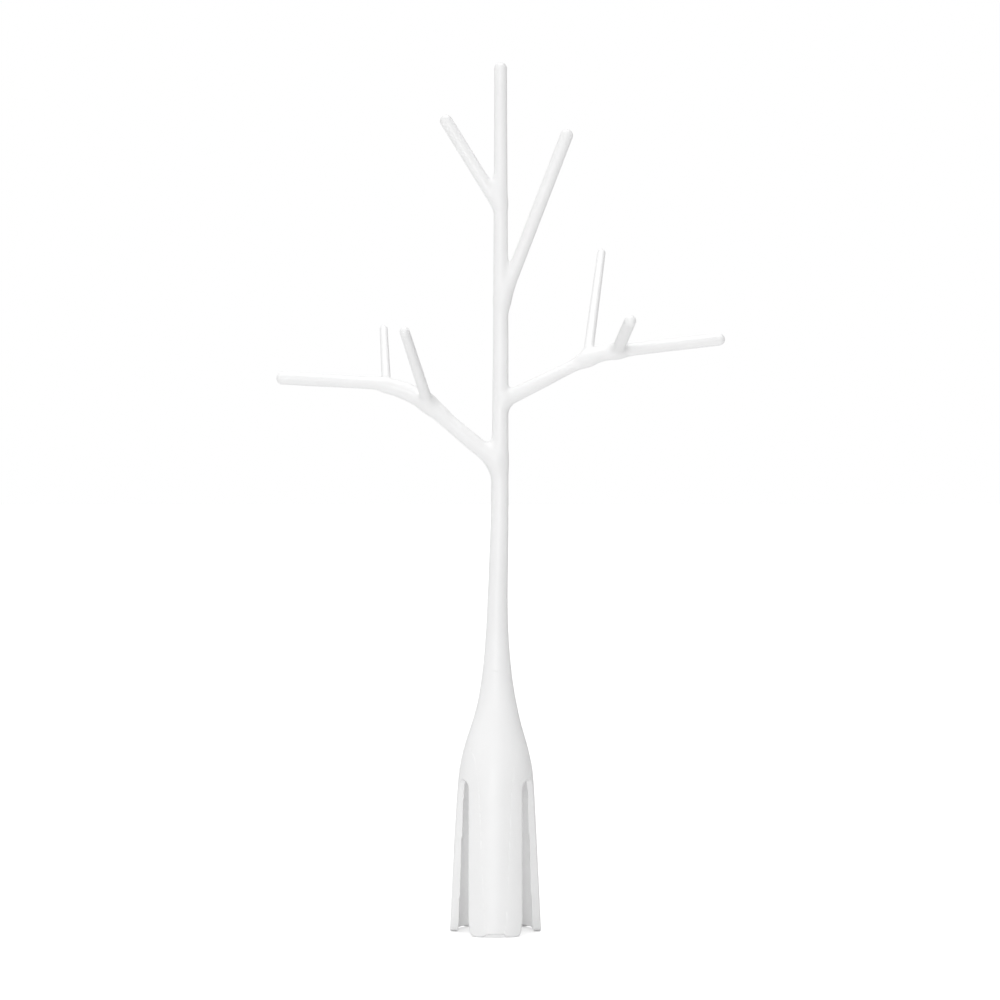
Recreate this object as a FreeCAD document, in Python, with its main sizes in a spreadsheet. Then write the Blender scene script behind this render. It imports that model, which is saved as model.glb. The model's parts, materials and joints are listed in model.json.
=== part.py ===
import FreeCAD, Part
import math
import os
import Sketcher
from FreeCAD import Placement, Rotation, Vector

# A white moulded peg tree that plugs into a blade rack: a hollow three-pronged base, a tapering trunk,
# two boughs and nine round-ended pegs. The origin is the centre of the base on the plane of the prongs'
# feet, +X runs towards the right bough, +Y to the back and +Z up the trunk. All lengths are in
# millimetres and all angles in degrees.

SIZES = {
    # Base: a bell that is split into three prongs by three round-topped slots.
    "foot_radius": 15.75, "foot_wall": 2.75, "rim_radius": 12.88, "rim_wall": 1.65, "rim_height": 54.0,
    "slot_top": 52.7, "slot_width": 6.5, "bell_foot": 49.0, "root_strip": 4.0,
    "prong_width": 18.4, "foot_width": 14.8, "foot_corner": 1.6, "corner_rise": 1.3, "foot_shoulder": 5.0,
    "slab_depth": 20.0, "overrun": 1.0,
    "shoulder_height": 60.2, "shoulder_radius": 11.85, "bow_height": 66.3, "bow_radius": 10.3,
    "waist_height": 75.0, "waist_radius": 7.55, "throat_height": 81.0, "throat_radius": 6.25,
    "neck_height": 87.5, "neck_radius": 5.3, "bell_wall": 2.0,
    # Trunk: it leans a little to the right on its way up.
    "trunk_offset": 1.7, "collar_height": 99.6, "collar_radius": 4.0, "collar_offset": 0.5,
    "lower_height": 116.0, "lower_radius": 3.5, "lower_offset": 0.95,
    "middle_height": 152.0, "middle_radius": 2.95, "upper_height": 200.0, "upper_radius": 2.6,
    "leader_height": 262.0, "leader_radius": 2.2, "leader_length": 37.7,
    # Left bough and its three pegs.
    "left_root_height": 161.4, "left_rise": 38.75, "left_run": 43.2, "left_bend": 29.0,
    "left_level": 3.2, "left_reach": 3.0, "left_root_radius": 2.65, "left_mid_radius": 3.05,
    "left_end_radius": 2.25, "left_outer_radius": 2.25, "left_outer_length": 31.4,
    "left_front_x": -23.2, "left_front_height": 181.8, "left_front_heading": -99.7,
    "left_front_tilt": 60.8, "left_front_length": 48.2,
    "left_back_x": -37.6, "left_back_height": 188.2, "left_back_heading": 93.8,
    "left_back_tilt": 58.5, "left_back_length": 42.6,
    # Right bough and its three pegs.
    "right_root_height": 182.7, "right_rise": 26.45, "right_run": 37.1, "right_bend": 40.0,
    "right_level": 6.6, "right_reach": 5.0, "right_root_radius": 2.4, "right_mid_radius": 2.5,
    "right_end_radius": 2.2, "right_outer_radius": 2.2, "right_outer_length": 32.6,
    "right_front_x": 42.0, "right_front_height": 200.3, "right_front_heading": -86.1,
    "right_front_tilt": 79.0, "right_front_length": 42.9,
    "right_back_x": 31.7, "right_back_height": 197.4, "right_back_heading": 80.3,
    "right_back_tilt": 42.1, "right_back_length": 54.6,
    # Upper pegs, and the drafted pegs that point to the front and the back.
    "upper_left_height": 249.2, "upper_left_tilt": 31.7, "upper_left_length": 37.8,
    "upper_right_height": 215.3, "upper_right_tilt": 21.1, "upper_right_length": 65.6,
    "upper_peg_radius": 2.2, "front_peg_root": 1.95, "front_peg_tip": 1.7,
    "back_peg_root": 1.75, "back_peg_tip": 1.45, "right_front_root": 2.1, "right_front_tip": 2.0,
}

PRONG_TURNS = {"front": 0.0, "right": 120.0, "left": 240.0}

doc = FreeCAD.newDocument("peg_tree")
sheet = doc.addObject("Spreadsheet::Sheet", "Sizes")
for row, (alias, size) in enumerate(SIZES.items(), start=1):
    sheet.set(f"A{row}", alias)
    sheet.set(f"B{row}", str(size))
    sheet.setAlias(f"B{row}", alias)
doc.recompute()


def cell(alias):
    return f"Sizes.{alias}"


def number(expression):
    """The number that an expression over the sheet gives."""
    return float(sheet.evalExpression(expression))


def new_body(label):
    body = doc.addObject("PartDesign::Body", label)
    body.Label = label
    return body


def new_sketch(body, name, role):
    sketch = body.newObject("Sketcher::SketchObject", f"{body.Name}_{name}")
    plane = next(item for item in body.Origin.OriginFeatures if item.Role == role)
    sketch.AttachmentSupport = (plane, [""])
    sketch.MapMode = "FlatFace"
    return sketch


def bind_distance(sketch, kind, geometry, end, expression):
    """Holds one end of a line or arc at a distance from the sketch's origin, or on its axis."""
    if expression == "0":
        axis = -2 if kind == "DistanceX" else -1
        sketch.addConstraint(Sketcher.Constraint("PointOnObject", geometry, end, axis))
        return
    index = sketch.addConstraint(Sketcher.Constraint(kind, -1, 1, geometry, end, number(expression)))
    sketch.setExpression(f"Constraints[{index}]", expression)


def arc_between(start, end, radius, turn):
    """A counter-clockwise arc through two points; turn is 1 when it runs from start to end."""
    first, last = (start, end) if turn > 0 else (end, start)
    chord = last - first
    rise = math.sqrt(radius ** 2 - (chord.Length / 2) ** 2)
    side = Vector(-chord.y, chord.x, 0).normalize()
    centre = first + chord * 0.5 + side * rise
    angles = [math.atan2(point.y - centre.y, point.x - centre.x) for point in (first, last)]
    return Part.ArcOfCircle(Part.Circle(centre, Vector(0, 0, 1), radius), *angles)


def draw_outline(sketch, corners, arcs=None):
    """A closed outline. corners are pairs of expressions; arcs maps a side to (radius, turn)."""
    arcs = arcs or {}
    points = [Vector(number(across), number(up), 0) for across, up in corners]
    ends = {}
    for side, start in enumerate(points):
        end = points[(side + 1) % len(points)]
        if side in arcs:
            radius, turn = arcs[side]
            sketch.addGeometry(arc_between(start, end, number(radius), turn))
            ends[side] = (1, 2) if turn > 0 else (2, 1)
        else:
            sketch.addGeometry(Part.LineSegment(start, end))
            ends[side] = (1, 2)
    for side, (across, up) in enumerate(corners):
        previous = (side - 1) % len(corners)
        joint = (previous, ends[previous][1], side, ends[side][0])
        sketch.addConstraint(Sketcher.Constraint("Coincident", *joint))
        bind_distance(sketch, "DistanceX", side, ends[side][0], across)
        bind_distance(sketch, "DistanceY", side, ends[side][0], up)
    for side, (radius, turn) in arcs.items():
        index = sketch.addConstraint(Sketcher.Constraint("Radius", side, number(radius)))
        sketch.setExpression(f"Constraints[{index}]", radius)


def revolve(body, sketch):
    turned = body.newObject("PartDesign::Revolution", f"{body.Name}_revolution")
    turned.Profile = sketch
    turned.ReferenceAxis = (sketch, ["V_Axis"])
    turned.Angle = 360
    return turned


def groove(body, sketch):
    cut = body.newObject("PartDesign::Groove", f"{sketch.Name}_groove")
    cut.Profile = sketch
    cut.ReferenceAxis = (sketch, ["V_Axis"])
    cut.Angle = 360
    return cut


def cone_radius(height):
    """The outer radius of the flared prongs at a height, as an expression."""
    flare = "(Sizes.foot_radius - Sizes.rim_radius) / Sizes.rim_height"
    return f"Sizes.foot_radius - {flare} * ({height})"


def cone_inside(height):
    """The inner radius of the flared prongs at a height, as an expression."""
    wall = "(Sizes.foot_wall - Sizes.rim_wall) / Sizes.rim_height"
    return f"{cone_radius(height)} - Sizes.foot_wall + {wall} * ({height})"


def add_ring(body, name, radius, across, height, tilt):
    """A circle across the grain of a lofted member. tilt leans it over towards +X."""
    ring = new_sketch(body, name, "XY_Plane")
    ring.addGeometry(Part.Circle(Vector(0, 0, 0), Vector(0, 0, 1), number(radius)))
    ring.addConstraint(Sketcher.Constraint("Coincident", 0, 3, -1, 1))
    index = ring.addConstraint(Sketcher.Constraint("Radius", 0, number(radius)))
    ring.setExpression(f"Constraints[{index}]", radius)
    ring.AttachmentOffset = Placement(Vector(0, 0, 0), Rotation(Vector(0, 1, 0), 1))
    ring.setExpression("AttachmentOffset.Base.x", across)
    ring.setExpression("AttachmentOffset.Base.z", height)
    ring.setExpression("AttachmentOffset.Rotation.Angle", tilt)
    return ring


def loft(body, rings):
    member = body.newObject("PartDesign::AdditiveLoft", f"{body.Name}_loft")
    member.Profile = rings[0]
    member.Sections = rings[1:]
    member.Ruled = False
    doc.recompute()
    return body


def make_bell():
    """The hollow shoulder of the base, with the round tops of the three slots in its rim."""
    body = new_body("base_bell")
    rim = cell("bell_foot")
    stations = [(cone_radius(rim), rim)]
    stations += [
        (cell(f"{place}_radius"), cell(f"{place}_height"))
        for place in ("rim", "shoulder", "bow", "waist", "throat", "neck")
    ]
    rings = [
        add_ring(body, f"ring_{place}", radius, "0", height, "0")
        for place, (radius, height) in enumerate(stations)
    ]
    loft(body, rings)

    # The hollow follows the outside, and ends in a half sphere at the waist.
    hollow = new_sketch(body, "hollow", "XZ_Plane")
    dome = "(Sizes.waist_radius - Sizes.bell_wall)"
    draw_outline(hollow, [
        ("0", "Sizes.bell_foot - Sizes.overrun"),
        (cone_inside("(Sizes.bell_foot - Sizes.overrun)"), "Sizes.bell_foot - Sizes.overrun"),
        ("Sizes.rim_radius - Sizes.rim_wall", cell("rim_height")),
        ("Sizes.bow_radius - Sizes.bell_wall", cell("bow_height")),
        (dome, cell("waist_height")),
        ("0", f"Sizes.waist_height + {dome}"),
    ], {4: (dome, 1)})
    groove(body, hollow)
    doc.recompute()

    # The slot at the back is cut, then repeated round the axis.
    arch = new_sketch(body, "arch", "XZ_Plane")
    half = "Sizes.slot_width / 2"
    spring = f"Sizes.slot_top - {half}"
    draw_outline(arch, [
        (f"-({half})", "Sizes.bell_foot - Sizes.overrun"),
        (half, "Sizes.bell_foot - Sizes.overrun"),
        (half, spring),
        ("0", cell("slot_top")),
        (f"-({half})", spring),
    ], {2: (half, 1), 3: (half, 1)})
    slot = body.newObject("PartDesign::Pocket", "base_bell_slot")
    slot.Profile = arch
    slot.Type = "Length"
    slot.setExpression("Length", cell("slab_depth"))
    doc.recompute()
    slots = body.newObject("PartDesign::PolarPattern", "base_bell_slots")
    slots.Originals = [slot]
    slots.Axis = (arch, ["V_Axis"])
    slots.Angle = 360
    slots.Occurrences = len(PRONG_TURNS)
    body.Tip = slots
    doc.recompute()
    return body


def make_wall_section(label, turn, bottom, top, foot):
    """A piece of one prong between two heights. A foot has its corners tapered and rounded."""
    body = new_body(label)
    front = new_sketch(body, "front", "XZ_Plane")
    half = "Sizes.prong_width / 2"
    if foot:
        tip = "Sizes.foot_width / 2"
        corner, rise = f"{tip} + Sizes.corner_rise", cell("corner_rise")
        draw_outline(front, [
            (f"-({tip})", bottom), (tip, bottom), (corner, rise),
            (half, cell("foot_shoulder")), (half, top), (f"-({half})", top),
            (f"-({half})", cell("foot_shoulder")), (f"-({corner})", rise),
        ], {1: (cell("foot_corner"), 1), 7: (cell("foot_corner"), 1)})
    else:
        draw_outline(front, [
            (f"-({half})", bottom), (half, bottom), (half, top), (f"-({half})", top),
        ])
    slab = body.newObject("PartDesign::Pad", f"{label}_slab")
    slab.Profile = front
    slab.setExpression("Length", cell("slab_depth"))
    doc.recompute()

    # The slab is turned to the flared wall, first outside and then inside.
    limit, below = "Sizes.foot_radius * 2", "-Sizes.overrun"
    outside = new_sketch(body, "outside", "XZ_Plane")
    draw_outline(outside, [
        (cone_radius(below), below), (limit, below), (limit, cell("neck_height")),
        (cone_radius(cell("neck_height")), cell("neck_height")),
    ])
    groove(body, outside)
    doc.recompute()
    inside = new_sketch(body, "inside", "XZ_Plane")
    draw_outline(inside, [
        ("0", below), (cone_inside(below), below),
        (cone_inside(cell("neck_height")), cell("neck_height")), ("0", cell("neck_height")),
    ])
    groove(body, inside)
    body.Placement = Placement(Vector(0, 0, 0), Rotation(Vector(0, 0, 1), turn))
    doc.recompute()
    return body


def make_prongs():
    prong_top = "Sizes.bell_foot - Sizes.root_strip"
    pieces = []
    for side, turn in PRONG_TURNS.items():
        pieces.append(make_wall_section(f"prong_{side}", turn, "0", prong_top, True))
        pieces.append(make_wall_section(f"prong_root_{side}", turn, prong_top, cell("bell_foot"), False))
    return pieces


def make_lower_trunk():
    """The lower trunk grows out of the bell's neck and leans over to the trunk's offset."""
    body = new_body("lower_trunk")
    stations = [
        ("neck_radius", "0", "neck_height"),
        ("collar_radius", cell("collar_offset"), "collar_height"),
        ("lower_radius", cell("lower_offset"), "lower_height"),
        ("middle_radius", cell("trunk_offset"), "middle_height"),
    ]
    rings = [
        add_ring(body, f"ring_{place}", cell(radius), across, cell(height), "0")
        for place, (radius, across, height) in enumerate(stations)
    ]
    return loft(body, rings)


def make_tapered_length(label, base, bottom_radius, top_radius, length):
    """A straight length of trunk, flat at both ends."""
    body = new_body(label)
    profile = new_sketch(body, "profile", "XZ_Plane")
    draw_outline(profile, [
        ("0", "0"), (bottom_radius, "0"), (top_radius, length), ("0", length),
    ])
    revolve(body, profile)
    body.setExpression("Placement.Base.x", cell("trunk_offset"))
    body.setExpression("Placement.Base.z", base)
    doc.recompute()
    return body


def make_peg(label, across, height, heading, tilt, length, root_radius, tip_radius):
    """A round-ended peg. heading is its direction seen from above, tilt its lean from upright."""
    body = new_body(label)
    profile = new_sketch(body, "profile", "XZ_Plane")
    draw_outline(profile, [
        ("0", "0"), (root_radius, "0"), (tip_radius, f"{length} - {tip_radius}"), ("0", length),
    ], {2: (tip_radius, 1)})
    revolve(body, profile)
    turned = math.radians(number(heading))
    lean_axis = Vector(-math.sin(turned), math.cos(turned), 0)
    body.Placement = Placement(Vector(0, 0, 0), Rotation(lean_axis, number(tilt)))
    body.setExpression("Placement.Base.x", across)
    body.setExpression("Placement.Base.z", height)
    body.setExpression("Placement.Rotation.Angle", tilt)
    doc.recompute()
    return body


def bough_route(side):
    """Expressions for points along a bough: its distance out from the trunk, its height and its rise."""
    sign = "-" if side == "left" else ""
    rise, level = cell(f"{side}_rise"), cell(f"{side}_level")
    bend = cell(f"{side}_bend")
    root = cell(f"{side}_root_height")
    straight = f"({cell(side + '_run')} - {bend} * tan(({rise} - {level}) / 2))"

    def out_to(distance):
        return f"{distance} * cos({rise})", f"{root} + {distance} * sin({rise})"

    def round_bend(share, beyond="0"):
        angle = f"({rise} - ({rise} - {level}) * {share})"
        out, up = out_to(straight)
        out = f"{out} + {bend} * (sin({rise}) - sin({angle})) + {beyond} * cos({angle})"
        up = f"{up} + {bend} * (cos({angle}) - cos({rise})) + {beyond} * sin({angle})"
        return out, up, angle

    half_way = f"{straight} * 0.5"
    route = [
        (*out_to("0"), rise), (*out_to(half_way), rise), (*out_to(straight), rise),
        round_bend(0.5), round_bend(1), round_bend(1, cell(f"{side}_reach")),
    ]
    return [(f"Sizes.trunk_offset + {sign}({out})", up, angle) for out, up, angle in route]


def make_bough(side):
    body = new_body(f"{side}_bough_blank")
    root, middle, end = (cell(f"{side}_{place}_radius") for place in ("root", "mid", "end"))
    radii = [root, middle, middle, f"({middle} + {end}) / 2", end, end]
    lean = "-1" if side == "left" else "1"
    rings = [
        add_ring(body, f"ring_{place}", radius, across, up, f"{lean} * (90 - {angle})")
        for place, (radius, (across, up, angle)) in enumerate(zip(radii, bough_route(side)))
    ]
    return loft(body, rings)


def trim(label, blank, neighbour):
    """A member that ends on the surface of the member it grows from."""
    blank.Label = f"{label}_blank"
    member = doc.addObject("Part::Cut", label)
    member.Label = label
    member.Base = blank
    member.Tool = neighbour
    doc.recompute()
    return member


def make_bough_set(side, trunk):
    """A bough with its outer, front and back pegs."""
    bough = trim(f"{side}_bough", make_bough(side), trunk)
    across, height, angle = bough_route(side)[-1]
    heading = "180" if side == "left" else "0"
    outer_radius = cell(f"{side}_outer_radius")
    outer = make_peg(f"{side}_outer_peg", across, height, heading, f"90 - {cell(side + '_level')}",
                     cell(f"{side}_outer_length"), outer_radius, outer_radius)
    members = [bough, outer]
    for face in ("front", "back"):
        name = f"{side}_{face}"
        shape = name if name == "right_front" else f"{face}_peg"
        blank = make_peg(f"{name}_peg_blank", cell(f"{name}_x"), cell(f"{name}_height"),
                         cell(f"{name}_heading"), cell(f"{name}_tilt"), cell(f"{name}_length"),
                         cell(f"{shape}_root"), cell(f"{shape}_tip"))
        members.append(trim(f"{name}_peg", blank, bough))
    return members


def make_upper_peg(side, trunk):
    name = f"upper_{side}"
    heading = "180" if side == "left" else "0"
    radius = cell("upper_peg_radius")
    blank = make_peg(f"{name}_peg_blank", cell("trunk_offset"), cell(f"{name}_height"), heading,
                     cell(f"{name}_tilt"), cell(f"{name}_length"), radius, radius)
    return trim(f"{name}_peg", blank, trunk)


def make_tree():
    middle_trunk = make_tapered_length(
        "middle_trunk", cell("middle_height"), cell("middle_radius"), cell("upper_radius"),
        "Sizes.upper_height - Sizes.middle_height")
    upper_trunk = make_tapered_length(
        "upper_trunk", cell("upper_height"), cell("upper_radius"), cell("leader_radius"),
        "Sizes.leader_height - Sizes.upper_height")
    leader = make_peg("leader_peg", cell("trunk_offset"), cell("leader_height"), "0", "0",
                      cell("leader_length"), cell("leader_radius"), cell("leader_radius"))
    members = [make_bell(), *make_prongs(), make_lower_trunk(), middle_trunk, upper_trunk, leader]
    for side in ("left", "right"):
        members.extend(make_bough_set(side, middle_trunk))
        members.append(make_upper_peg(side, upper_trunk))
    return members


def check_document():
    doc.recompute()
    for item in doc.Objects:
        if "Invalid" in item.State or "Error" in item.State:
            raise RuntimeError(f"{item.Label} failed: {item.State}")


def export(members):
    os.makedirs("parts", exist_ok=True)
    for member in members:
        shape = member.Shape
        if shape.isNull() or not shape.isValid() or len(shape.Solids) != 1:
            raise RuntimeError(f"{member.Label} is not one valid solid")
        print(f"{member.Label}: {shape.Volume:.0f} mm3")
        shape.exportStep(f"parts/{member.Label}.step")


tree = make_tree()
check_document()
export(tree)
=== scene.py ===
import json
import math

import bmesh
import bpy
import numpy as np
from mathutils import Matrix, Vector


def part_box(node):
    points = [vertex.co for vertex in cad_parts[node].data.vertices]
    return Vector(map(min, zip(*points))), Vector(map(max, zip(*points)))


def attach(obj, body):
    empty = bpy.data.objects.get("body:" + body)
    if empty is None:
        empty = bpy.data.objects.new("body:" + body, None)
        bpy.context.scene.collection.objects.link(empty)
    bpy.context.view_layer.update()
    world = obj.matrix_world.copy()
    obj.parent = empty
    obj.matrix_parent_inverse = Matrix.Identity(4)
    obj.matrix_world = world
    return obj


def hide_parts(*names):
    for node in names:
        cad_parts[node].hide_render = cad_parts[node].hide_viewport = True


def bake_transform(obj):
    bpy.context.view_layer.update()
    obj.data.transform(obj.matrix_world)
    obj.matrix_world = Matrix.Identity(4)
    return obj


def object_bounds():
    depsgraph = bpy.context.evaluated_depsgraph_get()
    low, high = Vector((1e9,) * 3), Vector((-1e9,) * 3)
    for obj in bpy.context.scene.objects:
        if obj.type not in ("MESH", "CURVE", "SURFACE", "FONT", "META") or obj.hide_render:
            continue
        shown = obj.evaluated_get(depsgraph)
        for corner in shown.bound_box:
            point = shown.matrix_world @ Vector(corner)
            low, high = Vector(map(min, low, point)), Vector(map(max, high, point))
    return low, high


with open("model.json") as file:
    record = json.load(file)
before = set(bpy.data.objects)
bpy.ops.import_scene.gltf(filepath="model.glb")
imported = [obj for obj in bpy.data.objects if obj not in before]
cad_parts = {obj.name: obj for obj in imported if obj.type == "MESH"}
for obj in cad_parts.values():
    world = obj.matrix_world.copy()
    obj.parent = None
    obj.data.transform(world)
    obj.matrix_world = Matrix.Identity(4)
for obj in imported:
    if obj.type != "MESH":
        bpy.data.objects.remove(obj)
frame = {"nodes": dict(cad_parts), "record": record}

import openvdb
from mathutils import Vector

# A white moulded peg tree. Its whole outside is one smooth surface, found from the distances to its members,
# then cut into the pieces of the CAD model. Shapes are worked out in millimetres in the frame's axes.

MM = 0.001
VOXEL = 0.4      # spacing of the surface's faces
BLOCK = 8                               # voxels along one side of a sampled block
BATCH = 400                             # blocks sampled at a time
SETTLE_ROUNDS = 6                       # how often the points are moved onto the surface

cad_box = [list(corner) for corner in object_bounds()]
MOUNTS = {mount["name"]: mount for mount in frame["record"]["mounts"]}

# Outer radius of the base, bell and trunk at each height, and how far their middle stands from the axis.
OUTLINE = [
    (-2, 15.85), (0, 15.75), (9.6, 15.27), (17.2, 14.92), (24.7, 14.55), (32.7, 14.17), (40.3, 13.74),
    (47.9, 13.3), (52, 13.0), (55.4, 12.67), (58.5, 12.2), (62, 11.45), (65.5, 10.5), (69, 9.42),
    (72.7, 8.3), (76, 7.42), (79.6, 6.58), (86.5, 5.42), (93, 4.66), (100, 4.08), (106, 3.74), (114, 3.5),
    (121, 3.35), (132, 3.22), (145, 3.04), (173, 2.82), (207, 2.62), (238, 2.45), (269, 2.28), (286, 2.2),
    (310, 2.2),
]
LEAN = [(-2, 0), (30, 0), (52, 0.12), (66, 0.18), (80, 0.52), (100, 0.55), (114, 0.72), (128, 1.1),
        (142, 1.42), (173, 1.62), (207, 1.8), (310, 1.75)]

# The hollow of the base, which ends in a dome.
DOME_HEIGHT, DOME_RADIUS = 75.0, 5.55
HOLLOW = [(-2, 13.1), (0, 13.0), (27, 12.12), (54, 11.2), (60, 10.3), (66.3, 8.35), (75, 5.55), (90, 5.55)]
BASE_TOP = 90.0

# The three prongs: half their width at each height, and the slots between them.
HALF_WIDTH = [(-2, 8.3), (0, 8.52), (5, 9.2), (60, 9.2)]
ARCH_FOOT, ARCH_HEIGHT = 49.4, 3.4
FOOT_CORNER, EDGE_ROUND = 1.6, 0.4
SLOT_SPACING, FIRST_SLOT = 120, -30      # degrees round the base

# Boughs: rise of the first run in degrees, radius of the bend, straight reach before the outer peg, softness
# of the fillets above and below the root, distance of the cut, radii along the way, and the sway of the
# middle line up or down along the way.
BOUGHS = {
    "left": (38.75, 29.0, 3.0, 3.5, 5.6, 11.0, [
        (0, 2.8), (10, 2.82), (16, 2.76), (22, 2.66), (27, 2.88), (33, 3.08), (38, 3.08), (46, 2.72),
        (53, 2.15), (59.4, 2.08), (66, 2.13), (75, 2.2), (90, 2.22)], [
        (0, 0), (10, -0.25), (19, -0.1), (24, 0.1), (27, 0.34), (32, 0.42), (36, 0.1), (40, -0.1),
        (46, -0.35), (53, 0), (90, 0)]),
    "right": (26.45, 40.0, 5.0, 2.3, 3.2, 9.0, [
        (0, 2.6), (8, 2.5), (13, 2.36), (18, 2.28), (22, 2.1), (27, 2.05), (31, 2.42), (35, 2.68),
        (40, 2.62), (45, 2.42), (51, 2.16), (60, 2.12), (90, 2.12)], [
        (0, 0), (8, -0.2), (15, -0.25), (28, -0.22), (33, 0.1), (40, 0), (90, 0)]),
}

# Pegs: root and tip radius, softness of the fillet in the crotch and under the root, distance of the cut.
PEGS = {
    "upper_left_peg": (2.2, 2.15, 3.1, 1.6, 15.0),
    "upper_right_peg": (2.2, 2.2, 2.2, 3.6, 19.5),
    "left_front_peg": (1.92, 1.68, 3.2, 3.2, 6.0),
    "left_back_peg": (1.62, 1.4, 2.6, 2.6, 5.5),
    "right_front_peg": (2.1, 2.0, 3.0, 3.0, 5.5),
    "right_back_peg": (1.75, 1.46, 3.4, 3.4, 6.5),
}
TIP_SETBACK = 2.0       # the end mounts stand this far inside the tips

# Where a member starts along its own line, so that its root doesn't show on the trunk's far side.
BOUGH_BEGINS, TRUNK_PEG_BEGINS = 2.5, 2.2

# Room left round each member's ends for its fillets.
BOUGH_BEHIND, BOUGH_AHEAD, BOUGH_BELOW, BOUGH_ABOVE, BOUGH_DEPTH = 8, 40, 12, 16, 12
PEG_ROOM = 8

# How far each cut reaches from the middle of its member.
PRONG_CUT, TRUNK_CUTS, LEADER_CUT = 20, (9, 6, 6), 4.5
BOUGH_CUT, PEG_CUT, OUTER_PEG_CUT = 6.5, 4.5, 4.0

# Looks. The light levels and both glows were set by comparing renders with the photograph.
WHITE = (1, 1, 1, 1)
PLASTIC_SHADE, PLASTIC_ROUGHNESS, PLASTIC_IOR = (0.905, 0.925), (0.36, 0.46), 1.46
CLOUD_SCALE, GRAIN_SCALE, STREAK_SCALE, STREAK_STRETCH = 60.0, 2500.0, 500.0, 0.12
BUMP_STRENGTH, BUMP_DISTANCE = 0.03, 0.0002
# Painted light: an emission on the inside of the bell that brightens the slots.
PAINTED_INNER_LIGHT = 0.085                      # emission on the inside of the bell
GLOW_FACING = (-0.001, -0.006)          # how far a face looks inwards where that glow starts and is full
GLOW_HEIGHTS = (0.075, 0.085)           # where it starts to fade and is gone
FLOOR_HALF_SIDE, FLOOR_GREY = 80.0, 0.74
FLOOR_GLOW = 0.45                       # emission that only the camera sees
ROOM_LEFT, ROOM_RIGHT = 0.62, 0.3       # strength of the room's light from each side

CAMERA_PLACE = (0.00155, -1.037, 0.14874)
LENS, SENSOR = 108.25, 36.0


def in_mm(metres):
    return np.array(metres, float) / MM


def curve_table(stations, step=0.1):
    """A smooth curve through (place, value) stations, as tables of places, values and slopes."""
    place, value = np.array(stations, float).T
    rise = np.diff(value) / np.diff(place)
    total = rise[:-1] + rise[1:]
    product = rise[:-1] * rise[1:]
    middle = np.where(product > 0, 2 * product / np.where(product > 0, total, 1), 0)
    slope = np.concatenate([rise[:1], middle, rise[-1:]])
    at = np.arange(place[0], place[-1] + step, step)
    span = np.clip(np.searchsorted(place, at, side="right") - 1, 0, len(rise) - 1)
    width = np.diff(place)[span]
    t = (at - place[span]) / width
    smooth = t * t * (3 - 2 * t)
    bend = (t - 2 * t * t + t ** 3) * slope[span] + (t ** 3 - t * t) * slope[span + 1]
    curve = value[span] * (1 - smooth) + value[span + 1] * smooth + bend * width
    return at, curve, np.gradient(curve, at)


OUTLINE_TABLE, LEAN_TABLE, HOLLOW_TABLE = map(curve_table, (OUTLINE, LEAN, HOLLOW))
TRUNK_TOP = cad_box[1][2] / MM
LEADER_RADIUS = MOUNTS["leader_peg_pin"]["dims"]["r_mm"]


def look_up(table, at):
    return np.interp(at, table[0], table[1])


def turned_profile(table, x, y, z):
    """Distance from the surface of a turned profile that leans with the trunk."""
    out = np.hypot(x - look_up(LEAN_TABLE, z), y)
    slope = np.interp(z, table[0], table[2])
    return (out - look_up(table, z)) / np.sqrt(1 + slope * slope)


def soft_union(a, b, softness):
    """The union of two solids with a fillet between them."""
    share = np.maximum(softness - np.abs(a - b), 0)
    return np.minimum(a, b) - share * share / (4 * softness)


def round_overlap(a, b, radius):
    """What two solids share, with a rounded edge."""
    corner = np.hypot(np.maximum(a + radius, 0), np.maximum(b + radius, 0))
    return np.minimum(np.maximum(a, b), -radius) + corner


def trunk_field(x, y, z):
    level = np.minimum(z, TRUNK_TOP - LEADER_RADIUS)
    side = turned_profile(OUTLINE_TABLE, x, y, level)
    out = np.hypot(x - look_up(LEAN_TABLE, level), y)
    return np.where(z > level, np.hypot(out, z - level) - LEADER_RADIUS, side)


def base_field(x, y, z, outside):
    """The hollow base. outside is the field of its outer surface."""
    out = np.hypot(x - look_up(LEAN_TABLE, z), y)
    dome = np.hypot(out, z - DOME_HEIGHT) - DOME_RADIUS
    hollow = np.where(z > DOME_HEIGHT, dome, turned_profile(HOLLOW_TABLE, x, y, z))
    shell = np.maximum(outside, -hollow)

    # Each slot is measured outwards along its middle and across it.
    angle = np.degrees(np.arctan2(y, x))
    slot_angle = np.round((angle - FIRST_SLOT) / SLOT_SPACING) * SLOT_SPACING + FIRST_SLOT
    turn = np.radians(slot_angle)
    outward = x * np.cos(turn) + y * np.sin(turn)
    across = np.abs(y * np.cos(turn) - x * np.sin(turn))
    width = np.interp(z, *np.array(HALF_WIDTH).T)
    half = np.maximum(math.sqrt(3) * outward - 2 * width, 0.3)
    across_share = across / half
    up_share = np.maximum(z - ARCH_FOOT, 0) / ARCH_HEIGHT
    share = np.maximum(np.hypot(across_share, up_share), 1e-6)
    pitch = np.sqrt((across_share / half) ** 2 * (1 + 3 * across_share ** 2)
                    + (up_share / ARCH_HEIGHT) ** 2) / share
    slot = (1 - share) / np.maximum(pitch, 1e-3)
    outline = round_overlap(slot, -z, FOOT_CORNER)
    return round_overlap(shell, outline, EDGE_ROUND)


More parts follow.
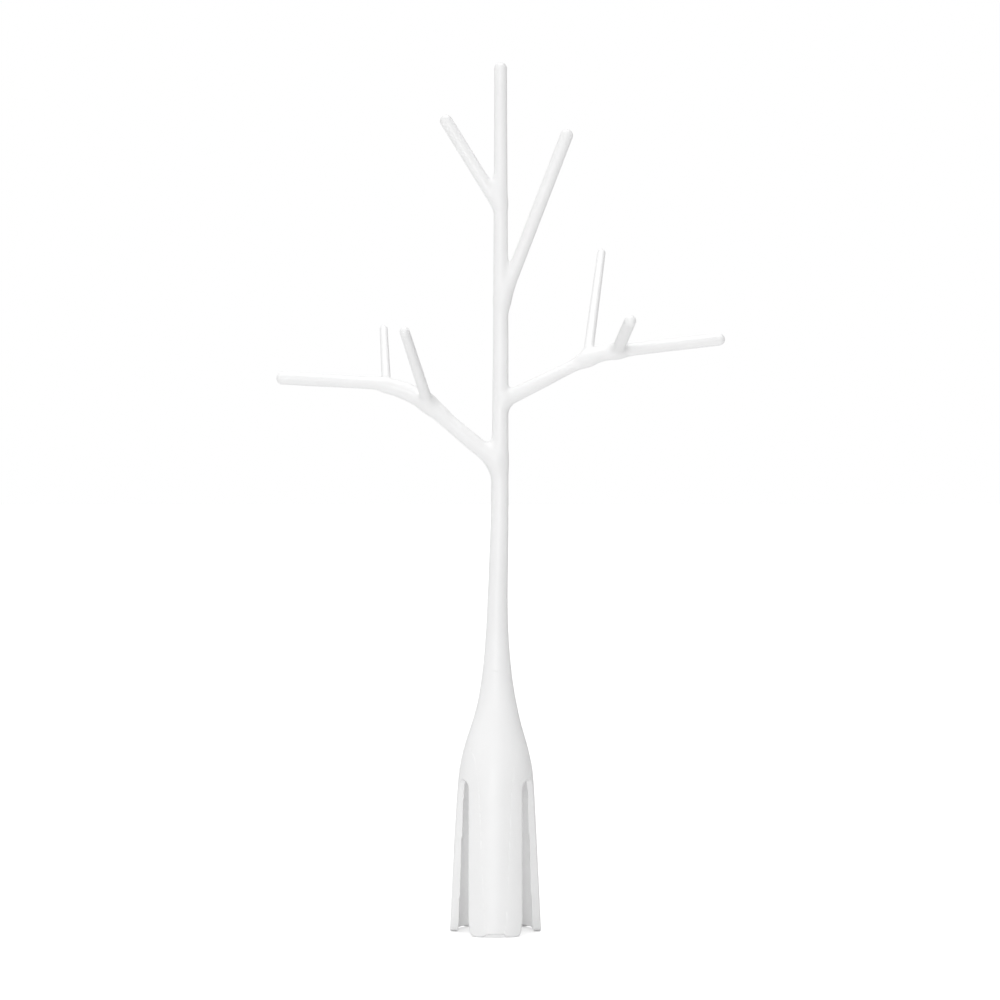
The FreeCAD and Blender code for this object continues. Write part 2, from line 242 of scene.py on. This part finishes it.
class Bough:
    """A run that rises from the trunk, a bend, and a level run that ends in the outer peg."""

    def __init__(self, side):
        (rise, bend, reach, self.soft_above, self.soft_below, self.cut_at, radii,
         sway) = BOUGHS[side]
        mount = MOUNTS[f"{side}_outer_peg_pin"]
        end, axis = in_mm(mount["pos_m"])[[0, 2]], np.array(mount["axis"])[[0, 2]]
        axis /= np.hypot(*axis)
        self.table, self.sway = curve_table(radii), curve_table(sway)
        self.sign = math.copysign(1, axis[0])
        self.bend = bend
        level = math.asin(axis[1])
        rise = math.radians(rise)
        self.level_start = end - axis * reach
        self.axis = axis
        self.centre = self.level_start + bend * self.below(level)
        bend_start = self.centre - bend * self.below(rise)
        self.way = np.array([self.sign * math.cos(rise), math.sin(rise)])
        middle = float(look_up(LEAN_TABLE, bend_start[1]))
        self.run = (bend_start[0] - middle) / self.way[0]
        self.start = bend_start - self.way * self.run
        self.rise = rise
        self.arc = bend * (rise - level)
        self.last = reach + mount["dims"]["length_mm"]
        behind, ahead = self.start[0] - self.sign * BOUGH_BEHIND, end[0] + self.sign * BOUGH_AHEAD
        self.low = np.array([min(behind, ahead), self.start[1] - BOUGH_BELOW])
        self.high = np.array([max(behind, ahead), end[1] + BOUGH_ABOVE])

    def below(self, angle):
        return np.array([self.sign * math.sin(angle), -math.cos(angle)])

    def nearest(self, x, z):
        """Height above the middle line, distance past its end, and how far along it."""
        dx, dz = (x - self.centre[0]) * self.sign, z - self.centre[1]
        turned = self.rise - np.arctan2(-dx, dz)
        above = np.hypot(dx, dz) - self.bend
        along, past = self.run + turned * self.bend, np.zeros_like(above)
        for origin, way, low, high, before in (
            (self.start, self.way, BOUGH_BEGINS, self.run, 0.0),
            (self.level_start, self.axis, 0.0, self.last, self.run + self.arc),
        ):
            dx, dz = x - origin[0], z - origin[1]
            straight = dx * way[0] + dz * way[1]
            held = np.clip(straight, low, high)
            here = straight <= high if before == 0 else straight >= low
            above = np.where(here, (dz * way[0] - dx * way[1]) * self.sign, above)
            past = np.where(here, straight - held, past)
            along = np.where(here, held + before, along)
        return above, past, along

    def field(self, x, y, z):
        above, past, along = self.nearest(x, z)
        off = np.sqrt((above - look_up(self.sway, along)) ** 2 + past ** 2 + y ** 2)
        return off - look_up(self.table, along)

    def softness(self, x, y, z):
        """The fillet is softer below the root than above it."""
        rise = (z - self.start[1]) * self.way[0] * self.sign - (x - self.start[0]) * self.way[1] * self.sign
        above = np.clip(rise / look_up(self.table, 0) * 0.5 + 0.5, 0, 1)
        return self.soft_below + (self.soft_above - self.soft_below) * above

    def cut_plane(self):
        place = self.start + self.way * self.cut_at
        return (place[0], 0, place[1]), (self.way[0], 0, self.way[1]), BOUGH_CUT


class Peg:
    """A straight round-ended peg, drafted from its root to its tip."""

    def __init__(self, name):
        self.root_radius, self.tip_radius, self.soft_above, self.soft_below, self.cut_at = PEGS[name]
        mount = MOUNTS[f"{name}_end"]
        end, self.axis = in_mm(mount["pos_m"]), np.array(mount["axis"], float)
        self.axis /= np.linalg.norm(self.axis)
        on_trunk = name.startswith("upper")
        self.begins = TRUNK_PEG_BEGINS if on_trunk else 0.0
        if on_trunk:
            along = (end[0] - float(look_up(LEAN_TABLE, end[2] - 30))) / self.axis[0]
        else:
            along = end[1] / self.axis[1]
        self.root = end - self.axis * along
        self.length = along + TIP_SETBACK - self.tip_radius
        upright = np.array([0, 0, 1.0])
        self.up = upright - self.axis * self.axis[2]
        self.up /= np.linalg.norm(self.up)
        tip = self.root + self.axis * self.length
        self.low = np.minimum(self.root, tip) - PEG_ROOM
        self.high = np.maximum(self.root, tip) + PEG_ROOM

    def field(self, x, y, z):
        dx, dy, dz = x - self.root[0], y - self.root[1], z - self.root[2]
        ax, ay, az = self.axis
        along = np.clip(dx * ax + dy * ay + dz * az, self.begins, self.length)
        off = np.sqrt((dx - along * ax) ** 2 + (dy - along * ay) ** 2 + (dz - along * az) ** 2)
        return off - (self.root_radius + (self.tip_radius - self.root_radius) * along / self.length)

    def softness(self, x, y, z):
        rise = sum((value - start) * up for value, start, up in zip((x, y, z), self.root, self.up))
        above = np.clip(rise / self.root_radius * 0.5 + 0.5, 0, 1)
        return self.soft_below + (self.soft_above - self.soft_below) * above

    def cut_plane(self):
        return self.root + self.axis * self.cut_at, self.axis, PEG_CUT


BOUGH = {side: Bough(side) for side in BOUGHS}
PEG = {name: Peg(name) for name in PEGS}


def add_member(total, member, inside, points):
    if not inside.any():
        return
    near = [values[inside] for values in points]
    total[inside] = soft_union(total[inside], member.field(*near), member.softness(*near))


def field(x, y, z):
    """Signed distance from the surface of the whole moulding, negative inside."""
    total = trunk_field(x, y, z)
    low = z < BASE_TOP
    if low.any():
        total[low] = base_field(x[low], y[low], z[low], total[low])
    for side, bough in BOUGH.items():
        inside = (z > bough.low[1]) & (z < bough.high[1]) & (x > bough.low[0]) & (x < bough.high[0])
        inside &= np.abs(y) < BOUGH_DEPTH
        add_member(total, bough, inside, (x, y, z))
    for peg in PEG.values():
        inside = (z > peg.low[2]) & (z < peg.high[2]) & (x > peg.low[0]) & (x < peg.high[0])
        inside &= (y > peg.low[1]) & (y < peg.high[1])
        add_member(total, peg, inside, (x, y, z))
    return total


def field_at(points):
    return field(*(np.ascontiguousarray(axis) for axis in points.T))


def slope_at(points, step=0.02):
    """The field and its gradient, from four samples round each point."""
    value, gradient = 0, 0
    for corner in ((1, -1, -1), (-1, -1, 1), (-1, 1, -1), (1, 1, 1)):
        sample = field_at(points + np.array(corner) * step)
        value = value + sample / 4
        gradient = gradient + sample[:, None] * np.array(corner) / (4 * step)
    return value, gradient


def sample_grid():
    """Samples the field in the blocks that the surface runs through."""
    margin = 3.0
    low, high = np.array(cad_box[0]) / MM - margin, np.array(cad_box[1]) / MM + margin
    side = BLOCK * VOXEL
    counts = np.ceil((high - low) / side).astype(int)
    blocks = np.stack(np.meshgrid(*map(np.arange, counts), indexing="ij"), -1).reshape(-1, 3)
    depth = field_at(low + (blocks + 0.5) * side - VOXEL / 2)
    spare = 1.2     # the field is not an exact distance near fillets and slots
    reach = side * math.sqrt(3) / 2 * spare + VOXEL
    grid = openvdb.FloatGrid(reach)
    solid = np.full((BLOCK,) * 3, -reach, np.float32)
    for block in blocks[depth < -reach]:
        grid.copyFromArray(solid, ijk=tuple(int(i) * BLOCK for i in block))
    active = blocks[np.abs(depth) <= reach] * BLOCK
    steps = np.stack(np.meshgrid(*[np.arange(BLOCK)] * 3, indexing="ij"), -1).reshape(-1, 3)
    for batch in np.array_split(active, max(1, len(active) // BATCH)):
        places = (batch[:, None, :] + steps[None]).reshape(-1, 3)
        samples = field_at(low + places * VOXEL).astype(np.float32).reshape(-1, *(BLOCK,) * 3)
        for corner, values in zip(batch, samples):
            grid.copyFromArray(np.ascontiguousarray(values), ijk=tuple(int(i) for i in corner))
    points, quads = grid.convertToQuads(isovalue=0.0)
    return low + np.array(points, float) * VOXEL, np.array(quads, int)


def settle(points, quads, rounds):
    """Moves the points onto the surface and spaces them evenly along it."""
    starts = np.concatenate([quads[:, i] for i in range(4)] + [quads[:, (i + 1) % 4] for i in range(4)])
    ends = np.concatenate([quads[:, (i + 1) % 4] for i in range(4)] + [quads[:, i] for i in range(4)])
    count = np.bincount(starts, minlength=len(points))
    for turn in range(rounds):
        value, gradient = slope_at(points)
        size = np.maximum((gradient ** 2).sum(1), 0.25)
        points = points - gradient * np.clip(value / size, -VOXEL, VOXEL)[:, None]
        if turn < rounds - 2:
            middle = np.stack([np.bincount(starts, points[ends, i], len(points)) for i in range(3)], 1)
            shift = middle / count[:, None] - points
            shift -= gradient * ((shift * gradient).sum(1) / size)[:, None]
            points = points + shift * 0.5
    return points


def cut_planes():
    """Where the moulding is divided: a point on each plane, its normal, and how far the cut reaches."""
    upright = (0, 0, 1)
    foot_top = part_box("prong_front")[1].z / MM
    root_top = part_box("prong_root_front")[1].z / MM
    cuts = [((0, 0, height), upright, PRONG_CUT) for height in (foot_top, root_top)]
    heights = [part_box(node)[0].z / MM for node in ("lower_trunk", "middle_trunk", "upper_trunk")]
    heights.append(PEG["upper_left_peg"].root[2] + PEG["upper_left_peg"].cut_at)
    cuts += [((look_up(LEAN_TABLE, height), 0, height), upright, reach)
             for height, reach in zip(heights, (*TRUNK_CUTS, LEADER_CUT))]
    cuts += [member.cut_plane() for member in (*BOUGH.values(), *PEG.values())]
    for side in BOUGH:
        mount = MOUNTS[f"{side}_outer_peg_pin"]
        cuts.append((in_mm(mount["pos_m"]), mount["axis"], OUTER_PEG_CUT))
    return cuts


def divide(points, quads):
    """Cuts the surface along every plane, and returns its islands as lists of corner lists."""
    mesh = bpy.data.meshes.new("whole")
    mesh.from_pydata(points.tolist(), [], quads.tolist())
    work = bmesh.new()
    work.from_mesh(mesh)
    bpy.data.meshes.remove(mesh)
    work.faces.ensure_lookup_table()
    centres = points[quads].mean(1)
    selections = []
    for place, normal, reach in cut_planes():
        place, normal = np.array(place, float), np.array(normal, float)
        offset = centres - place
        chosen = (np.abs(offset @ normal) < 2.5 * VOXEL) & ((offset ** 2).sum(1) < reach ** 2)
        selections.append((place, normal, [work.faces[i] for i in np.flatnonzero(chosen)]))
    seams = []
    for place, normal, faces in selections:
        edges = {edge for face in faces for edge in face.edges}
        corners = {vertex for face in faces for vertex in face.verts}
        result = bmesh.ops.bisect_plane(work, geom=[*faces, *edges, *corners], dist=VOXEL * 0.02,
                                        plane_co=Vector(place), plane_no=Vector(normal))
        seams += [item for item in result["geom_cut"] if isinstance(item, bmesh.types.BMEdge)]
    bmesh.ops.split_edges(work, edges=seams)
    islands, seen = [], set()
    for first in work.faces:
        if first in seen:
            continue
        seen.add(first)
        island, ahead = [], [first]
        while ahead:
            face = ahead.pop()
            island.append(face)
            for edge in face.edges:
                for other in edge.link_faces:
                    if other not in seen:
                        seen.add(other)
                        ahead.append(other)
        islands.append(closed_island(island))
    work.free()
    return islands


def closed_island(faces):
    """The points and corner lists of one island, and the caps that close it."""
    numbers, points, corners = {}, [], []
    for face in faces:
        loop = []
        for vertex in face.verts:
            if vertex not in numbers:
                numbers[vertex] = len(points)
                points.append(tuple(vertex.co))
            loop.append(numbers[vertex])
        corners.append(loop)
    sides = {(a, b) for loop in corners for a, b in zip(loop, loop[1:] + loop[:1])}
    onward = {b: a for a, b in sides if (b, a) not in sides}
    caps = []
    while onward:
        start, step = onward.popitem()
        cap = [start]
        while step != start:
            cap.append(step)
            step = onward.pop(step)
        caps.append(cap)
    return np.array(points), corners, caps


def make_piece(name, island, material):
    points, corners, caps = island
    _, gradient = slope_at(points)
    gradient /= np.maximum(np.linalg.norm(gradient, axis=1), 1e-9)[:, None]
    mesh = bpy.data.meshes.new(name)
    mesh.from_pydata((points * MM).tolist(), [], corners + caps, shade_flat=False)
    mesh.update()
    normals = [tuple(gradient[i]) for loop in corners for i in loop]
    for number, cap in enumerate(caps, start=len(corners)):
        normals += [tuple(mesh.polygons[number].normal)] * len(cap)
    mesh.normals_split_custom_set(normals)
    mesh.materials.append(material)
    piece = bpy.data.objects.new(name, mesh)
    bpy.context.scene.collection.objects.link(piece)
    return piece


def add_node(tree, kind, inputs=None, **settings):
    node = tree.nodes.new(kind)
    for key, value in settings.items():
        setattr(node, key, value)
    for key, value in (inputs or {}).items():
        if isinstance(value, bpy.types.NodeSocket):
            tree.links.new(value, node.inputs[key])
        else:
            node.inputs[key].default_value = value
    return node


def new_material(name):
    """A material, its node tree and its shader. Its emission isn't sampled as a light source."""
    material = bpy.data.materials.new(name)
    material.cycles.emission_sampling = "NONE"
    material.use_nodes = True
    tree = material.node_tree
    return material, tree, tree.nodes["Principled BSDF"]


def set_glow(tree, shader, glow):
    shader.inputs["Emission Color"].default_value = WHITE
    tree.links.new(glow.outputs[0], shader.inputs["Emission Strength"])


def spread_noise(tree, noise, low, high):
    """The middle of a noise texture's range, spread from low to high."""
    return add_node(tree, "ShaderNodeMapRange", {
        "Value": noise.outputs["Fac"], "From Min": 0.3, "From Max": 0.7, "To Min": low, "To Max": high})


def make_plastic():
    """Satin white plastic. The inside of the bell has a glow that makes the slots match the photograph."""
    material, tree, shader = new_material("satin_white_plastic")
    shader.inputs["IOR"].default_value = PLASTIC_IOR
    place = add_node(tree, "ShaderNodeTexCoord").outputs["Object"]
    cloud = add_node(tree, "ShaderNodeTexNoise", {"Vector": place, "Scale": CLOUD_SCALE, "Detail": 2.0})
    shade = spread_noise(tree, cloud, *PLASTIC_SHADE)
    tree.links.new(shade.outputs["Result"], shader.inputs["Base Color"])
    grain = add_node(tree, "ShaderNodeTexNoise", {"Vector": place, "Scale": GRAIN_SCALE, "Detail": 3.0})
    satin = spread_noise(tree, grain, *PLASTIC_ROUGHNESS)
    tree.links.new(satin.outputs["Result"], shader.inputs["Roughness"])
    flow = add_node(tree, "ShaderNodeMapping", {"Vector": place, "Scale": (1.0, 1.0, STREAK_STRETCH)})
    streak = add_node(tree, "ShaderNodeTexNoise", {"Vector": flow.outputs["Vector"], "Scale": STREAK_SCALE})
    uneven = add_node(tree, "ShaderNodeMath", {0: grain.outputs["Fac"], 1: streak.outputs["Fac"]},
                      operation="ADD")
    bump = add_node(tree, "ShaderNodeBump", {"Height": uneven.outputs[0], "Strength": BUMP_STRENGTH,
                                             "Distance": BUMP_DISTANCE})
    tree.links.new(bump.outputs["Normal"], shader.inputs["Normal"])
    # Painted light: faces that look inwards, low in the bell, glow to brighten the slots; the glow fades out
    # with height.
    facing = add_node(tree, "ShaderNodeNewGeometry").outputs["Normal"]
    level = add_node(tree, "ShaderNodeVectorMath", {0: place, 1: (1, 1, 0)}, operation="MULTIPLY")
    outward = add_node(tree, "ShaderNodeVectorMath", {0: facing, 1: level.outputs["Vector"]},
                       operation="DOT_PRODUCT")
    inside = add_node(tree, "ShaderNodeMapRange", {
        "Value": outward.outputs["Value"], "From Min": GLOW_FACING[0], "From Max": GLOW_FACING[1],
        "To Min": 0.0, "To Max": PAINTED_INNER_LIGHT})
    below = add_node(tree, "ShaderNodeSeparateXYZ", {"Vector": place}).outputs["Z"]
    low = add_node(tree, "ShaderNodeMapRange", {
        "Value": below, "From Min": GLOW_HEIGHTS[0], "From Max": GLOW_HEIGHTS[1],
        "To Min": 1.0, "To Max": 0.0})
    glow = add_node(tree, "ShaderNodeMath", {0: inside.outputs["Result"], 1: low.outputs["Result"]},
                    operation="MULTIPLY")
    set_glow(tree, shader, glow)
    return material


def make_floor():
    """A plain pale floor. Its emission is seen by the camera alone, so that it looks white."""
    mesh = bpy.data.meshes.new("floor")
    half = FLOOR_HALF_SIDE
    mesh.from_pydata([(-half, -half, 0), (half, -half, 0), (half, half, 0), (-half, half, 0)], [],
                     [(0, 1, 2, 3)])
    material, tree, shader = new_material("pale_floor")
    shader.inputs["Base Color"].default_value = (FLOOR_GREY, FLOOR_GREY, FLOOR_GREY, 1)
    shader.inputs["Roughness"].default_value = 1.0
    shader.inputs["Specular IOR Level"].default_value = 0.0
    seen = add_node(tree, "ShaderNodeLightPath").outputs["Is Camera Ray"]
    glow = add_node(tree, "ShaderNodeMath", {0: seen, 1: FLOOR_GLOW}, operation="MULTIPLY")
    set_glow(tree, shader, glow)
    mesh.materials.append(material)
    floor = bpy.data.objects.new("floor", mesh)
    bpy.context.scene.collection.objects.link(floor)


def link_light(name, lamp, place, target):
    light = bpy.data.objects.new(name, lamp)
    light.location = place
    light.rotation_euler = (Vector(target) - Vector(place)).to_track_quat("-Z", "Y").to_euler()
    bpy.context.scene.collection.objects.link(light)


def make_light(name, place, target, size, power):
    lamp = bpy.data.lights.new(name, "AREA")
    lamp.shape = "DISK"
    lamp.size = size
    lamp.energy = power
    link_light(name, lamp, place, target)


def make_sky_light(name, place, spread, strength):
    lamp = bpy.data.lights.new(name, "SUN")
    lamp.energy = strength
    lamp.angle = math.radians(spread)
    link_light(name, lamp, place, (0, 0, 0))


def make_world():
    """Grey light from all round, dimmer from the right. The camera alone sees plain white instead."""
    world = bpy.data.worlds.new("studio")
    world.use_nodes = True
    tree = world.node_tree
    tree.nodes.clear()
    ray = add_node(tree, "ShaderNodeLightPath")
    way = add_node(tree, "ShaderNodeTexCoord").outputs["Generated"]
    across = add_node(tree, "ShaderNodeSeparateXYZ", {"Vector": way}).outputs["X"]
    level = add_node(tree, "ShaderNodeMapRange", {
        "Value": across, "From Min": -1.0, "From Max": 1.0, "To Min": ROOM_LEFT, "To Max": ROOM_RIGHT})
    soft = add_node(tree, "ShaderNodeBackground", {"Color": WHITE, "Strength": level.outputs["Result"]})
    white = add_node(tree, "ShaderNodeBackground", {"Color": WHITE, "Strength": 1.0})
    mixed = add_node(tree, "ShaderNodeMixShader", {0: ray.outputs["Is Camera Ray"],
                                                   1: soft.outputs[0], 2: white.outputs[0]})
    add_node(tree, "ShaderNodeOutputWorld", {"Surface": mixed.outputs[0]})
    bpy.context.scene.world = world


def make_camera():
    lens = bpy.data.cameras.new("camera")
    lens.lens, lens.sensor_width = LENS, SENSOR
    camera = bpy.data.objects.new("camera", lens)
    camera.location = CAMERA_PLACE
    camera.rotation_euler = (math.radians(90), 0, 0)
    bpy.context.scene.collection.objects.link(camera)
    bpy.context.scene.camera = camera


make_camera()
make_world()
make_floor()
make_sky_light("overhead", place=(0, 0, 1), spread=60, strength=1.85)
make_light("front", place=(-0.25, -1.6, 0.22), target=(0, 0, 0.15), size=0.5, power=6.6)
bpy.context.scene.view_settings.view_transform = "Standard"

plastic = make_plastic()
surface, faces = sample_grid()
surface = settle(surface, faces, SETTLE_ROUNDS)
islands = divide(surface, faces)

nodes = sorted(frame["nodes"])
if len(islands) != len(nodes):
    raise RuntimeError(f"{len(islands)} islands for {len(nodes)} nodes")
taken = set()
for node in nodes:
    low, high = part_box(node)
    middle = np.array((low + high) / 2) / MM
    order = [np.min(((island[0] - middle) ** 2).sum(1)) for island in islands]
    chosen = int(np.argmin(order))
    if chosen in taken:
        raise RuntimeError(f"{node} has no island of its own")
    taken.add(chosen)
    piece = make_piece(f"moulded_{node}", islands[chosen], plastic)
    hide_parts(node)
    if node.startswith("prong_root"):
        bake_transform(piece)
    else:
        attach(piece, node if node.startswith("prong") else "tree")

bpy.context.view_layer.update()
